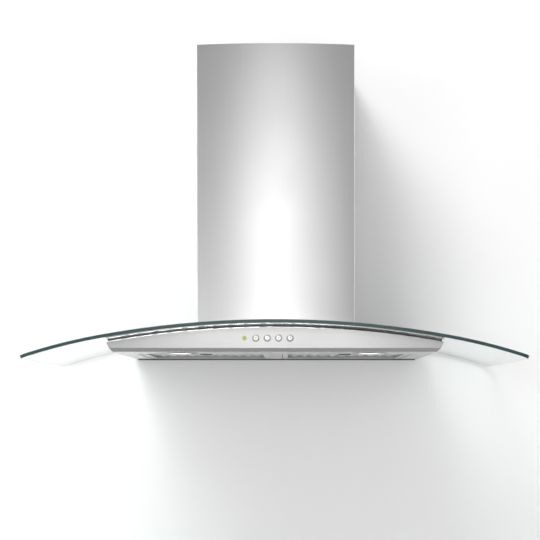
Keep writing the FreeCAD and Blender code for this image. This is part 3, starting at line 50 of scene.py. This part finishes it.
def material(name, colour, roughness, metallic=0.0, **settings):
    """A Principled material. Its settings are socket names with underscores for spaces."""
    made = bpy.data.materials.new(name)
    made.use_nodes = True
    made.use_backface_culling = False
    sockets = made.node_tree.nodes["Principled BSDF"].inputs
    sockets["Base Color"].default_value = (*colour, 1)
    sockets["Roughness"].default_value = roughness
    sockets["Metallic"].default_value = metallic
    for setting, number in settings.items():
        sockets[setting.replace("_", " ")].default_value = number
    return made


def shader(made):
    return made.node_tree.nodes["Principled BSDF"]


def calculate(tree, operation, first, second):
    """A maths node on two sockets, or on a socket and a number."""
    step = tree.nodes.new("ShaderNodeMath")
    step.operation = operation
    for number, given in enumerate((first, second)):
        if isinstance(given, (int, float)):
            step.inputs[number].default_value = given
        else:
            tree.links.new(given, step.inputs[number])
    return step.outputs[0]


def place(made, stretch):
    """A point in the piece's own space, in features per metre along X, Y and Z."""
    tree = made.node_tree
    spot = tree.nodes.new("ShaderNodeTexCoord")
    scale = tree.nodes.new("ShaderNodeMapping")
    scale.inputs["Scale"].default_value = stretch
    tree.links.new(spot.outputs["Object"], scale.inputs["Vector"])
    return scale.outputs["Vector"]


def noise(made, stretch, detail=2.0, rough=0.5):
    tree = made.node_tree
    texture = tree.nodes.new("ShaderNodeTexNoise")
    texture.inputs["Scale"].default_value = 1
    texture.inputs["Detail"].default_value = detail
    texture.inputs["Roughness"].default_value = rough
    tree.links.new(place(made, stretch), texture.inputs["Vector"])
    return texture.outputs["Fac"]


def cells(made, stretch, feature="F1"):
    tree = made.node_tree
    texture = tree.nodes.new("ShaderNodeTexVoronoi")
    texture.feature = feature
    texture.inputs["Scale"].default_value = 1
    tree.links.new(place(made, stretch), texture.inputs["Vector"])
    return texture.outputs["Distance"]


def spread(made, factor, low, high, start=0.3, end=0.7):
    """Map a texture from start..end to low..high."""
    tree = made.node_tree
    limit = tree.nodes.new("ShaderNodeMapRange")
    limit.inputs["From Min"].default_value = start
    limit.inputs["From Max"].default_value = end
    limit.inputs["To Min"].default_value = low
    limit.inputs["To Max"].default_value = high
    tree.links.new(factor, limit.inputs["Value"])
    return limit.outputs["Result"]


def blend(made, factor, first, second, start=0.3, end=0.7):
    """A colour that goes from first to second as the texture goes from start to end."""
    tree = made.node_tree
    ramp = tree.nodes.new("ShaderNodeValToRGB")
    ramp.color_ramp.elements[0].position = start
    ramp.color_ramp.elements[0].color = (*first, 1)
    ramp.color_ramp.elements[1].position = end
    ramp.color_ramp.elements[1].color = (*second, 1)
    tree.links.new(factor, ramp.inputs["Fac"])
    return ramp.outputs["Color"]


def relief(made, factor, depth, strength=1.0):
    """Bump of that depth from a texture, on top of the bump already there."""
    tree = made.node_tree
    bump = tree.nodes.new("ShaderNodeBump")
    bump.inputs["Distance"].default_value = depth
    bump.inputs["Strength"].default_value = strength
    tree.links.new(factor, bump.inputs["Height"])
    normal = shader(made).inputs["Normal"]
    if normal.links:
        tree.links.new(normal.links[0].from_socket, bump.inputs["Normal"])
    tree.links.new(bump.outputs["Normal"], normal)


def set_colour(made, colour):
    made.node_tree.links.new(colour, shader(made).inputs["Base Color"])


def set_roughness(made, number):
    made.node_tree.links.new(number, shader(made).inputs["Roughness"])


def brushed(name, colour, roughness, grain, contrast=0.02, depth=0.000004, vary=0.03):
    """Brushed metal. The grain is in lines per metre along X, Y and Z, few along the brushing.

    The colour varies by the contrast, the relief is that deep in metres, and the roughness varies
    by that much either way.
    """
    made = material(name, colour, roughness, metallic=1.0)
    dark = tuple(part * (1 - contrast) for part in colour)
    light = tuple(min(part * (1 + contrast), 1) for part in colour)
    lines = noise(made, grain, detail=3)
    clouds = noise(made, (9, 9, 9), detail=2)
    set_colour(made, blend(made, lines, dark, light))
    fine = spread(made, lines, roughness - vary, roughness + vary)
    broad = spread(made, clouds, -0.01, 0.015)
    set_roughness(made, calculate(made.node_tree, "ADD", fine, broad))
    relief(made, lines, depth, strength=0.3)
    return made


def moulded(name, colour, roughness, grain=1400, depth=0.00003):
    """Moulded plastic or rubber with a fine matt grain."""
    made = material(name, colour, roughness)
    speckle = noise(made, (grain, grain, grain), detail=2)
    clouds = noise(made, (25, 25, 25), detail=3)
    dark = tuple(part * 0.82 for part in colour)
    light = tuple(min(part * 1.12 + 0.004, 1) for part in colour)
    set_colour(made, blend(made, clouds, dark, light))
    set_roughness(made, spread(made, speckle, roughness - 0.07, roughness + 0.07))
    relief(made, speckle, depth, strength=0.5)
    return made


def galvanised(name):
    """Zinc coated sheet with its spangle."""
    made = material(name, (0.55, 0.57, 0.58), 0.4, metallic=1.0)
    spangle = cells(made, (130, 130, 130))
    flakes = noise(made, (60, 60, 60), detail=4)
    set_colour(made, blend(made, spangle, (0.44, 0.46, 0.47), (0.66, 0.68, 0.69), 0.1, 0.8))
    set_roughness(made, spread(made, flakes, 0.3, 0.52))
    relief(made, spangle, 0.00004, strength=0.3)
    return made


def polished(name, colour, roughness):
    """Bright plated metal with faint wipe marks."""
    made = material(name, colour, roughness, metallic=1.0)
    wipe = noise(made, (60, 160, 90), detail=4)
    set_roughness(made, spread(made, wipe, roughness * 0.6, roughness * 1.6))
    dark = tuple(part * 0.94 for part in colour)
    set_colour(made, blend(made, wipe, dark, colour))
    return made


def sheet_glass(name, edge_colour):
    """Clear float glass. Its faces let lamp light through, and its ground edges show the tint."""
    made = material(name, (1, 1, 1), 0.0, Transmission_Weight=1.0, IOR=1.5)
    tree = made.node_tree
    relief(made, noise(made, (7, 7, 7), detail=1), 0.00004, strength=0.15)
    smear = noise(made, (18, 30, 18), detail=4)
    set_roughness(made, spread(made, smear, 0.0, 0.02))
    tint = noise(made, (12, 12, 12), detail=1)
    set_colour(made, blend(made, tint, (0.90, 0.93, 0.92), (0.92, 0.95, 0.94)))

    edge = tree.nodes.new("ShaderNodeBsdfPrincipled")
    edge.inputs["Roughness"].default_value = 0.22
    streak = noise(made, (9, 9, 900), detail=2)
    dark = tuple(part * 0.75 for part in edge_colour)
    light = tuple(part * 1.2 for part in edge_colour)
    tree.links.new(blend(made, streak, dark, light), edge.inputs["Base Color"])

    facing = tree.nodes.new("ShaderNodeNewGeometry")
    split = tree.nodes.new("ShaderNodeSeparateXYZ")
    tree.links.new(facing.outputs["True Normal"], split.inputs["Vector"])
    level = calculate(tree, "ABSOLUTE", split.outputs["Z"], 0)
    is_face = calculate(tree, "GREATER_THAN", level, 0.5)

    ray = tree.nodes.new("ShaderNodeLightPath")
    see_through = tree.nodes.new("ShaderNodeBsdfTransparent")
    see_through.inputs["Color"].default_value = (0.72, 0.77, 0.75, 1)
    face = tree.nodes.new("ShaderNodeMixShader")
    tree.links.new(ray.outputs["Is Shadow Ray"], face.inputs[0])
    tree.links.new(shader(made).outputs["BSDF"], face.inputs[1])
    tree.links.new(see_through.outputs["BSDF"], face.inputs[2])
    whole = tree.nodes.new("ShaderNodeMixShader")
    tree.links.new(is_face, whole.inputs[0])
    tree.links.new(edge.outputs["BSDF"], whole.inputs[1])
    tree.links.new(face.outputs["Shader"], whole.inputs[2])
    tree.links.new(whole.outputs["Shader"], tree.nodes["Material Output"].inputs["Surface"])
    return made


def glowing(name, colour, strength, cell_size):
    """Lit frosted glass, a little uneven, with a pattern of small prisms."""
    made = material(name, colour, 0.25, Emission_Strength=strength)
    prisms = cells(made, (1 / cell_size, 1 / cell_size, 1 / cell_size))
    glow = blend(made, prisms, colour, tuple(part * 0.86 for part in colour), 0.2, 0.7)
    made.node_tree.links.new(glow, shader(made).inputs["Emission Color"])
    set_colour(made, glow)
    relief(made, prisms, cell_size * 0.2, strength=0.4)
    return made


def circuit_board():
    made = material("board_face", (0.03, 0.16, 0.07), 0.45)
    tracks = noise(made, (420, 420, 420), detail=1)
    set_colour(made, blend(made, tracks, (0.02, 0.11, 0.05), (0.06, 0.24, 0.11), 0.48, 0.52))
    set_roughness(made, spread(made, tracks, 0.35, 0.55))
    return made


FINISHES = {
    "canopy_glass": sheet_glass("canopy_glass_look", (0.022, 0.058, 0.056)),
    "black_rubber": moulded("rubber_look", (0.022, 0.022, 0.023), 0.7),
    "steel_sheet": brushed("sheet_look", (0.60, 0.60, 0.60), 0.34, (25, 900, 900)),
    # Painted shade: the fascia is the same stainless steel as the chimney and the casing, given a
    # darker colour for the little light it catches.
    "brushed_steel": brushed("fascia_painted_shade_look", (0.44, 0.44, 0.437), 0.22, (14, 900, 900)),
    "underside_steel": brushed("underside_look", (0.60, 0.60, 0.60), 0.34, (14, 900, 900)),
    # Painted light: the chimney is the same stainless steel as the fascia and the casing, given a
    # lighter colour so that its highlight goes near white.
    "chimney_steel": brushed(
        "chimney_painted_light_look",
        (0.80, 0.80, 0.80),
        0.30,
        (700, 700, 6),
        contrast=0.012,
        depth=0.0000012,
        vary=0.012,
    ),
    "filter_aluminium": brushed("filter_look", (0.70, 0.71, 0.72), 0.38, (30, 900, 900)),
    "filter_foil": brushed("foil_look", (0.62, 0.63, 0.64), 0.42, (700, 700, 700)),
    "latch_plastic": moulded("latch_look", (0.035, 0.035, 0.037), 0.45),
    "lamp_chrome": polished("lamp_ring_look", (0.36, 0.36, 0.37), 0.2),
    "lamp_glass": glowing("lamp_lens_look", (1.0, 0.98, 0.93), 2.2, 0.0035),
    "bulb_glass": glowing("bulb_look", (1.0, 0.95, 0.85), 3.0, 0.006),
    "button_chrome": polished("button_ring_look", (0.30, 0.305, 0.31), 0.2),
    "button_steel": brushed("button_look", (0.74, 0.74, 0.74), 0.28, (500, 2500, 2500)),
    "pilot_plastic": glowing("pilot_look", (0.36, 0.42, 0.11), 0.12, 0.0012),
    "switch_plastic": moulded("switch_look", (0.05, 0.05, 0.055), 0.5),
    "black_plastic": moulded("case_look", (0.028, 0.029, 0.03), 0.5),
    "board": circuit_board(),
    "galvanised": galvanised("zinc_look"),
    "scroll_plastic": moulded("scroll_look", (0.07, 0.072, 0.075), 0.55),
    "impeller_plastic": moulded("impeller_look", (0.30, 0.31, 0.32), 0.48),
    "flap_plastic": moulded("flap_look", (0.10, 0.10, 0.105), 0.5),
    "motor_metal": brushed("motor_look", (0.50, 0.51, 0.52), 0.35, (1200, 90, 90)),
    "screw_steel": polished("screw_look", (0.62, 0.62, 0.61), 0.28),
}

for piece in NODES.values():
    for spot in piece.material_slots:
        spot.material = FINISHES[spot.material.name.split(".")[0]]


# ---------------------------------------------------------------- pieces made here

def add_piece(name, mesh, body, slot):
    """Turn a bmesh into a piece with that finish that moves with that body."""
    made = bpy.data.meshes.new(name)
    mesh.to_mesh(made)
    mesh.free()
    piece = bpy.data.objects.new(name, made)
    bpy.context.scene.collection.objects.link(piece)
    piece.data.materials.append(FINISHES[slot])
    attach(piece, body)
    return piece


FOIL_FOLDS = 12
FOIL_RISE = 0.8  # height of the folds, as a share of the node's height
FOIL_LIFT = 0.0005
FOIL_CELL = 0.0026
FOIL_STRETCH = 1.6  # length of a diamond by its width
STRAND = 0.0008


def expanded_foil(name, node, body):
    """Expanded metal: diamonds over a rectangle, folded like the node that it follows."""
    low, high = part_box(node)
    size = [far - near for near, far in zip(low, high)]
    fold_width = size[0] / FOIL_FOLDS
    fold_height = size[2] * FOIL_RISE
    across = int(size[0] / FOIL_CELL)
    along = int(size[1] / FOIL_CELL / FOIL_STRETCH)
    mesh = bmesh.new()

    def corner(i, j):
        x = low[0] + size[0] * i / across
        y = low[1] + size[1] * j / along
        phase = ((x - low[0]) / fold_width) % 1.0
        fold = 1 - abs(2 * phase - 1)
        return mesh.verts.new((x, y, low[2] + fold_height * fold + FOIL_LIFT))

    points = {}
    for i in range(across + 1):
        for j in range(along + 1):
            if (i + j) % 2 == 0:
                points[i, j] = corner(i, j)
    for i in range(1, across):
        for j in range(1, along):
            if (i + j) % 2 == 1:
                around = [(i - 1, j), (i, j - 1), (i + 1, j), (i, j + 1)]
                mesh.faces.new([points[spot] for spot in around])
    piece = add_piece(name, mesh, body, "filter_foil")
    strands = piece.modifiers.new("strands", "WIREFRAME")
    strands.thickness = STRAND
    strands.use_replace = True
    return piece


for side in ("left", "right"):
    foil = expanded_foil(f"foil_{side}", f"filter_mesh_{side}", f"filter_{side}")
    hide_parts(f"filter_mesh_{side}")

# Painted shadow: a thin black strip that stands for the shaded gap between the hood's rear edge
# and the wall.
SHADOW_STRIP_HALF = 0.292
SHADOW_STRIP_DEPTH = 0.005
SHADOW_STRIP_HEIGHT = 0.0018


def shadow_gap_strip():
    """A black rubber strip under the body's rear edge, against the wall: painted shadow, a dark
    sheet put where the gap between hood and wall is in shade.
    """
    low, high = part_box("underside_frame")
    mesh = bmesh.new()
    bmesh.ops.create_cube(mesh, size=1)
    for corner in mesh.verts:
        corner.co.x *= 2 * SHADOW_STRIP_HALF
        corner.co.y = high[1] - SHADOW_STRIP_DEPTH * (0.5 - corner.co.y)
        corner.co.z = low[2] - SHADOW_STRIP_HEIGHT * (0.5 - corner.co.z)
    return add_piece("shadow_gap_strip", mesh, "root", "black_rubber")


shadow_gap_strip()

# Strokes on a button's cap, in parts of the cap's half width: each is a run of points. They are
# a lamp and the figures 1, 2 and 3.
ICONS = {
    "button_1": [
        [(-0.30, -0.05), (-0.30, 0.20), (-0.12, 0.42), (0.12, 0.42), (0.30, 0.20), (0.30, -0.05)],
        [(-0.30, -0.05), (0.30, -0.05)],
        [(-0.16, -0.22), (0.16, -0.22)],
        [(-0.10, -0.38), (0.10, -0.38)],
    ],
    "button_2": [
        [(-0.14, 0.26), (0.02, 0.42), (0.02, -0.42)],
        [(-0.16, -0.42), (0.20, -0.42)],
    ],
    "button_3": [
        [(-0.24, 0.26), (-0.10, 0.42), (0.12, 0.42), (0.24, 0.26), (0.24, 0.10), (-0.24, -0.42)],
        [(-0.24, -0.42), (0.26, -0.42)],
    ],
    "button_4": [
        [(-0.22, 0.42), (0.24, 0.42), (0.02, 0.08), (0.20, 0.0), (0.26, -0.18)],
        [(0.26, -0.18), (0.12, -0.40), (-0.10, -0.42), (-0.26, -0.28)],
    ],
}
CAP_HALF = 0.0039
STROKE_WIDTH = 0.00045
STROKE_DEPTH = 0.00006


def add_stroke(mesh, first, last, front):
    """A flat bar between two points on the plane Y = front, standing out of it."""
    along = (last - first).normalized() * STROKE_WIDTH / 2
    across = Vector((-along.z, 0, along.x))
    ring = [
        first - along - across,
        last + along - across,
        last + along + across,
        first - along + across,
    ]
    back = [mesh.verts.new((point.x, front, point.z)) for point in ring]
    face = [mesh.verts.new((point.x, front - STROKE_DEPTH, point.z)) for point in ring]
    mesh.faces.new(face)
    for here in range(len(ring)):
        after = (here + 1) % len(ring)
        mesh.faces.new([back[here], back[after], face[after], face[here]])


def icon(button, strokes):
    """Flat printed strokes on the front of a button's cap."""
    low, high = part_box(button)
    middle = Vector(((low[0] + high[0]) / 2, 0, (low[2] + high[2]) / 2))
    mesh = bmesh.new()
    for stroke in strokes:
        ends = [middle + Vector((across, 0, up)) * CAP_HALF for across, up in stroke]
        for first, last in zip(ends, ends[1:]):
            add_stroke(mesh, first, last, low[1])
    bmesh.ops.recalc_face_normals(mesh, faces=mesh.faces)
    return add_piece(f"icon_{button}", mesh, button, "switch_plastic")


for button, strokes in ICONS.items():
    icon(button, strokes)


# ---------------------------------------------------------------- wall, floor, light, camera

def either(tree, *kinds):
    """One where a ray is of any of those kinds."""
    ray = tree.nodes.new("ShaderNodeLightPath")
    found = ray.outputs[kinds[0]]
    for kind in kinds[1:]:
        found = calculate(tree, "MAXIMUM", found, ray.outputs[kind])
    return found


def one_sided(name, colour, lift):
    """A matt surface that only shows from its front. It is seen that much paler than it is lit."""
    made = material(name, colour, 0.9)
    tree = made.node_tree
    mottle = noise(made, (3, 3, 3), detail=2)
    set_colour(made, blend(made, mottle, tuple(part * 0.99 for part in colour), colour))
    seen = either(tree, "Is Camera Ray", "Is Transmission Ray", "Is Glossy Ray")
    pale = calculate(tree, "MULTIPLY", seen, lift)
    shader(made).inputs["Emission Color"].default_value = (1, 1, 1, 1)
    tree.links.new(pale, shader(made).inputs["Emission Strength"])
    side = tree.nodes.new("ShaderNodeNewGeometry")
    nothing = tree.nodes.new("ShaderNodeBsdfTransparent")
    mix = tree.nodes.new("ShaderNodeMixShader")
    tree.links.new(side.outputs["Backfacing"], mix.inputs[0])
    tree.links.new(shader(made).outputs["BSDF"], mix.inputs[1])
    tree.links.new(nothing.outputs["BSDF"], mix.inputs[2])
    tree.links.new(mix.outputs["Shader"], tree.nodes["Material Output"].inputs["Surface"])
    return made


def sheet(name, corners, finish):
    mesh = bpy.data.meshes.new(name)
    mesh.from_pydata(corners, [], [range(len(corners))])
    piece = bpy.data.objects.new(name, mesh)
    bpy.context.scene.collection.objects.link(piece)
    mesh.materials.append(finish)
    return piece


WALL_Y = 0.004  # just behind the hood
WALL_HALF = 6.0
WALL_TOP = 4.0
FLOOR_Z = -0.9
ROOM_DEPTH = 9.0

wall = sheet(
    "backdrop",
    [
        (-WALL_HALF, WALL_Y, FLOOR_Z),
        (WALL_HALF, WALL_Y, FLOOR_Z),
        (WALL_HALF, WALL_Y, WALL_TOP),
        (-WALL_HALF, WALL_Y, WALL_TOP),
    ],
    one_sided("wall_paint", (0.90, 0.90, 0.90), lift=0.08),
)
wall.visible_diffuse = False
wall.visible_shadow = False
floor = sheet(
    "floor",
    [
        (-WALL_HALF, -ROOM_DEPTH, FLOOR_Z),
        (WALL_HALF, -ROOM_DEPTH, FLOOR_Z),
        (WALL_HALF, WALL_HALF, FLOOR_Z),
        (-WALL_HALF, WALL_HALF, FLOOR_Z),
    ],
    one_sided("floor_paint", (0.75, 0.75, 0.75), lift=0.2),
)
floor.visible_glossy = False

HOOD = Vector((0, -0.2, 0.15))  # where every lamp points


def softbox(name, azimuth, elevation, distance, width, height, radiance, shows):
    """A rectangular lamp that faces the hood and has that brightness all over.

    A lamp that doesn't show is left out of the reflections in metal and glass.
    """
    turn = math.radians(azimuth)
    rise = math.radians(elevation)
    level = math.cos(rise)
    away = Vector((math.sin(turn) * level, -math.cos(turn) * level, math.sin(rise)))
    light = bpy.data.lights.new(name, "AREA")
    light.shape = "RECTANGLE"
    light.size = width
    light.size_y = height
    light.energy = radiance * math.pi * width * height
    lamp = bpy.data.objects.new(name, light)
    lamp.location = HOOD + away * distance
    lamp.rotation_euler = (-away).to_track_quat("-Z", "Y").to_euler()
    lamp.visible_camera = False
    lamp.visible_glossy = shows
    bpy.context.scene.collection.objects.link(lamp)
    return lamp


# name, azimuth and elevation in degrees, distance, width, height, radiance, shows in metal
LAMPS = [
    ("high_left", -40, 56, 4.5, 2.4, 2.1, 12.5, False),
    ("high_right", 40, 56, 4.5, 2.4, 2.1, 0.8, True),
    ("side_left", -42, 0, 4.5, 1.1, 1.0, 4.5, True),
    ("side_right", 75, 10, 4.5, 2.4, 2.4, 0.8, True),
    ("far_left", -75, 4, 4.5, 2.4, 2.1, 1.2, True),
    ("front_wide", 1, 4, 4.5, 3.0, 1.5, 0.72, True),
    ("front_centre", -0.5, 5, 4.4, 1.1, 2.0, 1.2, True),
    ("low_left", -26, -5, 4.5, 1.1, 1.1, 0.9, True),
    ("low_front", 0, -26, 4.5, 3.6, 1.5, 1.4, True),
]
for lamp in LAMPS:
    softbox(*lamp)

HORIZON = 0.15
BELOW = 0.24
ABOVE = 0.30


def studio_world():
    """A dim grey room, a little lighter above. What is seen behind the hood is white paper."""
    world = bpy.data.worlds.new("studio")
    world.use_nodes = True
    tree = world.node_tree
    room = tree.nodes["Background"]
    room.inputs["Strength"].default_value = 1.0
    sky = tree.nodes.new("ShaderNodeTexCoord")
    way = tree.nodes.new("ShaderNodeSeparateXYZ")
    shade = tree.nodes.new("ShaderNodeMapRange")
    shade.inputs["From Min"].default_value = -HORIZON
    shade.inputs["From Max"].default_value = HORIZON
    shade.inputs["To Min"].default_value = BELOW
    shade.inputs["To Max"].default_value = ABOVE
    tree.links.new(sky.outputs["Generated"], way.inputs["Vector"])
    tree.links.new(way.outputs["Z"], shade.inputs["Value"])
    tree.links.new(shade.outputs["Result"], room.inputs["Color"])

    paper = tree.nodes.new("ShaderNodeBackground")
    paper.inputs["Color"].default_value = (1, 1, 1, 1)
    paper.inputs["Strength"].default_value = 1.0
    behind = calculate(tree, "GREATER_THAN", way.outputs["Y"], 0)
    mirrored = calculate(tree, "MULTIPLY", behind, either(tree, "Is Glossy Ray"))
    direct = either(tree, "Is Camera Ray", "Is Transmission Ray")
    choose = tree.nodes.new("ShaderNodeMixShader")
    tree.links.new(calculate(tree, "MAXIMUM", direct, mirrored), choose.inputs[0])
    tree.links.new(room.outputs["Background"], choose.inputs[1])
    tree.links.new(paper.outputs["Background"], choose.inputs[2])
    tree.links.new(choose.outputs["Shader"], tree.nodes["World Output"].inputs["Surface"])
    return world


bpy.context.scene.world = studio_world()

CAMERA_AT = (0.022, -2.904, -0.0955)
CAMERA_LEVEL = (math.radians(90), 0, 0)

view = bpy.data.cameras.new("view")
view.lens = 91.5
view.sensor_width = 36
view.shift_x = -0.0315
view.shift_y = 0.2489
camera = bpy.data.objects.new("camera", view)
camera.location = CAMERA_AT
camera.rotation_euler = CAMERA_LEVEL
bpy.context.scene.collection.objects.link(camera)
bpy.context.scene.camera = camera

bpy.context.scene.view_settings.view_transform = "Standard"
